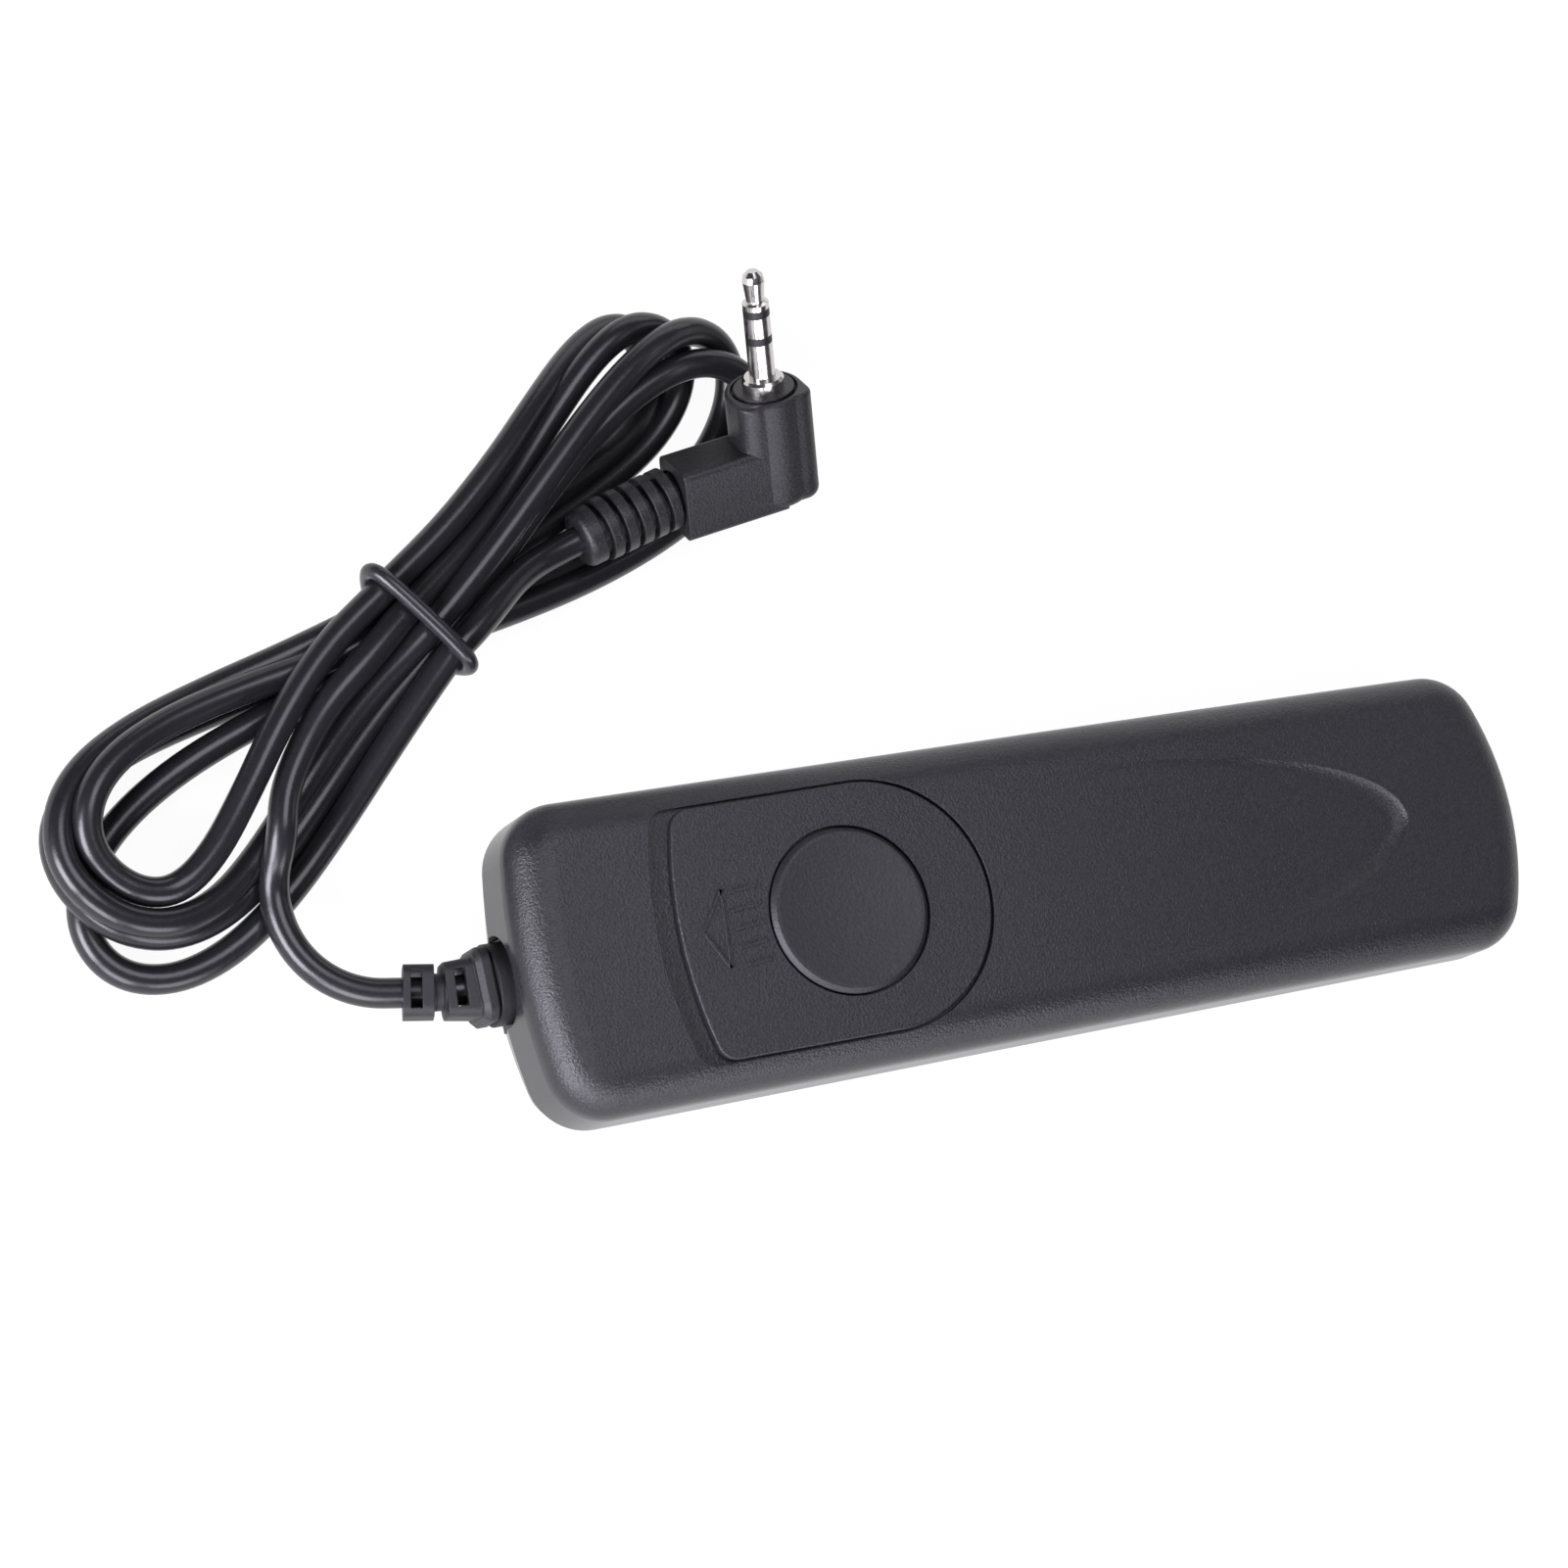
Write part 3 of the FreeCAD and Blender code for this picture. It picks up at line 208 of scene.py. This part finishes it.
# ---------------------------------------------------------------- slider mark and painted shade of the screw recesses
arrow_tip, arrow_upper, arrow_lower = (-35.2, 0.2), (-32.7, 3.8), (-33.3, -3.4)
bar_count = 5
bar_left_x, bar_right_x = -32.1, -29.2
bar_low_y, bar_pitch, bar_slant = -3.4, 1.7, 0.25
stroke_width, stroke_rise, stroke_sink = 0.32, 0.16, 0.03
screw_places = [(-45.2, 8.4), (-45.2, -8.4), (43.5, 0.0)]
recess_reach, recess_width = 1.1, 0.5


def add_stroke(mesh, start, end, width, low, high):
    """Straight raised stroke between two points of a level face."""
    along = (Vector((*end, 0)) - Vector((*start, 0))).normalized()
    aside = Vector((-along.y, along.x, 0)) * width / 2
    corners = [Vector((*start, 0)) - aside, Vector((*end, 0)) - aside,
               Vector((*end, 0)) + aside, Vector((*start, 0)) + aside]
    lower = [mesh.verts.new((corner + Vector((0, 0, low))) * MM) for corner in corners]
    upper = [mesh.verts.new((corner + Vector((0, 0, high))) * MM) for corner in corners]
    mesh.faces.new(reversed(lower))
    mesh.faces.new(upper)
    for index in range(len(corners)):
        after = (index + 1) % len(corners)
        mesh.faces.new((lower[index], lower[after], upper[after], upper[index]))


def strokes_piece(name, strokes, width, low, high, body):
    """Flat piece made of straight strokes, riding on a body."""
    mesh = bmesh.new()
    for start, end in strokes:
        add_stroke(mesh, start, end, width, low, high)
    data = bpy.data.meshes.new(name)
    mesh.to_mesh(data)
    mesh.free()
    piece = bpy.data.objects.new(name, data)
    bpy.context.scene.collection.objects.link(piece)
    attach(piece, body)


def make_slider_mark():
    """Raised arrow outline toward the cable, with a row of plain bars beside it."""
    strokes = [(arrow_tip, arrow_upper), (arrow_tip, arrow_lower), (arrow_upper, arrow_lower)]
    for index in range(bar_count):
        y = bar_low_y + index * bar_pitch
        strokes.append(((bar_left_x, y), (bar_right_x, y + bar_slant)))
    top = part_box("hold_slider")[1][2] / MM
    strokes_piece("slider_mark", strokes, stroke_width, top - stroke_sink, top + stroke_rise,
                  "slider")


def make_screw_recess_shade():
    """Dark crosses on the faces of the three screw heads under the handset: painted shade in place of
    their cross recesses.
    """
    head_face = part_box("housing_screws")[0][2] / MM
    strokes = []
    for x, y in screw_places:
        strokes.append(((x - recess_reach, y), (x + recess_reach, y)))
        strokes.append(((x, y - recess_reach), (x, y + recess_reach)))
    strokes_piece("screw_recess_shade", strokes, recess_width, head_face - stroke_sink,
                  head_face + stroke_sink, "handset")


make_slider_mark()
make_screw_recess_shade()


# ---------------------------------------------------------------- materials
black = (0.019, 0.0185, 0.0215)
deep_black = (0.013, 0.0127, 0.0147)
gloss_swing = 0.04                          # how far a moulded surface's roughness wanders
patch_scale = 60.0                          # of the noise that it wanders with, per metre
turning_scale = 1800.0                      # of the noise in the metals' gloss and bump, per metre
# Upward part of the normal where the grain of the walls begins and where it is full.
grain_begins, grain_full = 0.15, 0.6


def new_material(name):
    material = bpy.data.materials.new(name)
    material.use_nodes = True
    tree = material.node_tree
    shader = tree.nodes["Principled BSDF"]
    return material, tree, shader


def add_node(tree, kind, **inputs):
    """Shader node with these input values; an underscore stands for the space in an input's name."""
    node = tree.nodes.new(kind)
    for name, value in inputs.items():
        node.inputs[name.replace("_", " ")].default_value = value
    return node


def grained(name, colour, roughness, grain_size, grain_height, specks, edge,
            wall_roughness=None):
    """Moulded plastic or rubber: fine grain, uneven gloss, soft edges and, if asked, smoother walls."""
    material, tree, shader = new_material(name)
    link = tree.links.new
    place = tree.nodes.new("ShaderNodeTexCoord")
    fine = add_node(tree, "ShaderNodeTexNoise", Scale=1 / (grain_size * MM), Detail=3.0, Roughness=0.6)
    broad = add_node(tree, "ShaderNodeTexNoise", Scale=patch_scale, Detail=2.0, Roughness=0.5)
    link(place.outputs["Object"], fine.inputs["Vector"])
    link(place.outputs["Object"], broad.inputs["Vector"])
    tint = tree.nodes.new("ShaderNodeValToRGB")
    tint.color_ramp.elements[0].position = 0.35
    tint.color_ramp.elements[0].color = (*(value * (1 - specks) for value in colour), 1)
    tint.color_ramp.elements[1].position = 0.7
    tint.color_ramp.elements[1].color = (*(value * (1 + specks) for value in colour), 1)
    link(fine.outputs["Fac"], tint.inputs["Fac"])
    link(tint.outputs["Color"], shader.inputs["Base Color"])
    gloss = add_node(tree, "ShaderNodeMapRange", From_Min=0.3, From_Max=0.7,
                     To_Min=roughness - gloss_swing, To_Max=roughness + gloss_swing)
    link(broad.outputs["Fac"], gloss.inputs["Value"])
    bump = add_node(tree, "ShaderNodeBump", Strength=1.0, Distance=grain_height * MM)
    link(fine.outputs["Fac"], bump.inputs["Height"])
    if wall_roughness is None:
        link(gloss.outputs["Result"], shader.inputs["Roughness"])
    else:
        smooth_walls(tree, place, gloss, bump, shader, wall_roughness)
    if edge > 0:
        soft = add_node(tree, "ShaderNodeBevel", Radius=edge * MM)
        soft.samples = 6
        link(soft.outputs["Normal"], bump.inputs["Normal"])
    link(bump.outputs["Normal"], shader.inputs["Normal"])
    return material


def smooth_walls(tree, place, gloss, bump, shader, wall_roughness):
    """The drafted walls come smooth from the mould, and the grain grows toward faces that look up."""
    link = tree.links.new
    parts = tree.nodes.new("ShaderNodeSeparateXYZ")
    link(place.outputs["Normal"], parts.inputs["Vector"])
    upward = add_node(tree, "ShaderNodeMapRange", From_Min=grain_begins, From_Max=grain_full,
                      To_Min=0.0, To_Max=1.0)
    link(parts.outputs["Z"], upward.inputs["Value"])
    link(upward.outputs["Result"], bump.inputs["Strength"])
    blend = tree.nodes.new("ShaderNodeMix")
    blend.inputs["A"].default_value = wall_roughness
    link(upward.outputs["Result"], blend.inputs["Factor"])
    link(gloss.outputs["Result"], blend.inputs["B"])
    link(blend.outputs["Result"], shader.inputs["Roughness"])


def metal(name, colour, roughness, scratch):
    """Plated or rolled metal with fine marks in its gloss and bump."""
    material, tree, shader = new_material(name)
    link = tree.links.new
    shader.inputs["Metallic"].default_value = 1.0
    shader.inputs["Base Color"].default_value = (*colour, 1)
    place = tree.nodes.new("ShaderNodeTexCoord")
    marks = add_node(tree, "ShaderNodeTexNoise", Scale=turning_scale, Detail=2.0, Roughness=0.6)
    link(place.outputs["Object"], marks.inputs["Vector"])
    gloss = add_node(tree, "ShaderNodeMapRange", From_Min=0.3, From_Max=0.7,
                     To_Min=roughness, To_Max=roughness + scratch)
    link(marks.outputs["Fac"], gloss.inputs["Value"])
    link(gloss.outputs["Result"], shader.inputs["Roughness"])
    bump = add_node(tree, "ShaderNodeBump", Strength=0.3, Distance=0.004 * MM)
    link(marks.outputs["Fac"], bump.inputs["Height"])
    link(bump.outputs["Normal"], shader.inputs["Normal"])
    return material


def wire_plastic(name, colour):
    return grained(name, colour, roughness=0.4, grain_size=0.5, grain_height=0.005, specks=0.05, edge=0)


def dress(material, *names):
    """Give a material to CAD nodes or to pieces of this script."""
    for name in names:
        piece = nodes[name] if name in nodes else bpy.data.objects[name]
        piece.data.materials.clear()
        piece.data.materials.append(material)


dress(grained("shell_plastic", black, roughness=0.34, grain_size=0.25, grain_height=0.09,
              specks=0.3, edge=0.12, wall_roughness=0.25),
      "top_housing", "bottom_cover")
dress(grained("slider_plastic", black, roughness=0.36, grain_size=0.25, grain_height=0.1,
              specks=0.3, edge=0.15),
      "hold_slider", "slider_mark")
dress(grained("button_plastic", black, roughness=0.48, grain_size=0.3, grain_height=0.05,
              specks=0.2, edge=0.1),
      "shutter_button")
dress(grained("relief_pvc", deep_black, roughness=0.55, grain_size=0.25, grain_height=0.03,
              specks=0.2, edge=0.15),
      "cable_grommet")
dress(grained("cable_pvc", deep_black, roughness=0.27, grain_size=0.6, grain_height=0.01,
              specks=0.1, edge=0),
      "cable", "cable_inner_end")
dress(grained("tie_rubber", black, roughness=0.26, grain_size=0.6, grain_height=0.01,
              specks=0.1, edge=0),
      "tie_band")
dress(grained("plug_pvc", deep_black, roughness=0.42, grain_size=0.25, grain_height=0.06,
              specks=0.4, edge=0.2),
      "plug_body", "plug_strain_relief")
dress(metal("jack_plate", (0.62, 0.6, 0.58), roughness=0.16, scratch=0.1),
      "jack_sleeve", "jack_ring", "jack_tip")
dress(grained("jack_insulator", (0.004, 0.004, 0.004), roughness=0.5, grain_size=0.6,
              grain_height=0.005, specks=0.05, edge=0),
      "jack_insulators")
dress(metal("contact_bronze", (0.7, 0.5, 0.3), roughness=0.3, scratch=0.1),
      "contact_leaf_common", "contact_leaf_focus", "contact_leaf_shutter")
dress(grained("insulating_board", (0.55, 0.5, 0.42), roughness=0.6, grain_size=0.5,
              grain_height=0.01, specks=0.05, edge=0),
      "leaf_spacers", "leaf_clamp", "contact_carrier")
dress(metal("screw_steel", (0.1, 0.1, 0.1), roughness=0.35, scratch=0.1), "housing_screws")
# the dark crosses are painted shade standing in for the screw heads' cross recesses
dress(metal("recess_shadow", (0.01, 0.01, 0.01), roughness=0.6, scratch=0.1), "screw_recess_shade")
dress(wire_plastic("wire_red", (0.5, 0.03, 0.02)), "wire_shutter")
dress(wire_plastic("wire_white", (0.7, 0.7, 0.68)), "wire_common")
dress(wire_plastic("wire_yellow", (0.65, 0.5, 0.05)), "wire_focus")


# ---------------------------------------------------------------- stage and light
# Lengths in this section are in metres.
daylight = (0.92, 0.9, 1.0)
world_strength = 0.06
sheet_size, sheet_drop = 6, 0.0002
paper_white = 1.05                          # brightness of the sheet itself
paper_share = 0.9                           # the rest of its look is its own shading
ring_centre_x = -0.04
ring_distance = 0.42
ring_elevation = math.radians(25)
ring_aim_z = 0.01
ring_light_size = (0.24, 0.2)
low_ring = [("key", 189, 2.6), ("corner", 232, 1.5), ("front", 280, 0.9), ("far", 10, 0.12)]


def make_floor():
    """White sheet: the camera and the object's reflections see it evenly lit, with a trace of shadow."""
    bpy.ops.mesh.primitive_plane_add(size=sheet_size, location=(0, 0, -sheet_drop))
    floor = bpy.context.object
    floor.name = "floor"
    material, tree, shader = new_material("floor")
    link = tree.links.new
    shader.inputs["Base Color"].default_value = (0.9, 0.9, 0.9, 1)
    shader.inputs["Roughness"].default_value = 0.9
    paper = add_node(tree, "ShaderNodeEmission", Color=(1, 1, 1, 1), Strength=paper_white)
    rays = tree.nodes.new("ShaderNodeLightPath")
    seen = tree.nodes.new("ShaderNodeMath")
    seen.operation = "MAXIMUM"
    link(rays.outputs["Is Camera Ray"], seen.inputs[0])
    link(rays.outputs["Is Glossy Ray"], seen.inputs[1])
    share = tree.nodes.new("ShaderNodeMath")
    share.operation = "MULTIPLY"
    share.inputs[1].default_value = paper_share
    link(seen.outputs["Value"], share.inputs[0])
    mix = tree.nodes.new("ShaderNodeMixShader")
    link(share.outputs["Value"], mix.inputs["Fac"])
    link(shader.outputs["BSDF"], mix.inputs[1])
    link(paper.outputs["Emission"], mix.inputs[2])
    link(mix.outputs["Shader"], tree.nodes["Material Output"].inputs["Surface"])
    floor.data.materials.append(material)


def area_light(name, place, aim, size, power):
    """Rectangular soft light that looks from its place at its aim."""
    data = bpy.data.lights.new(name, "AREA")
    data.shape = "RECTANGLE"
    data.size, data.size_y = size
    data.energy = power
    data.color = daylight
    light = bpy.data.objects.new(name, data)
    bpy.context.scene.collection.objects.link(light)
    light.location = place
    light.rotation_mode = "QUATERNION"
    light.rotation_quaternion = (Vector(aim) - Vector(place)).to_track_quat("-Z", "Y")


def make_world():
    world = bpy.data.worlds.new("studio")
    bpy.context.scene.world = world
    world.use_nodes = True
    background = world.node_tree.nodes["Background"]
    background.inputs["Color"].default_value = (*daylight, 1)
    background.inputs["Strength"].default_value = world_strength


def low_lights():
    """Low soft lights round the ends and the near long side."""
    for name, azimuth, power in low_ring:
        turn = math.radians(azimuth)
        level = ring_distance * math.cos(ring_elevation)
        place = (level * math.cos(turn) + ring_centre_x, level * math.sin(turn),
                 ring_distance * math.sin(ring_elevation))
        area_light(name, place, (ring_centre_x, 0, ring_aim_z), ring_light_size, power)


make_floor()
make_world()
area_light("overhead", place=(0.0, 0.1, 0.5), aim=(-0.04, 0, 0), size=(0.26, 0.26), power=0.95)
area_light("back", place=(0.2, 0.45, 0.15), aim=(0, 0, 0), size=(0.5, 0.2), power=0.5)
low_lights()
bpy.context.scene.view_settings.view_transform = "Standard"
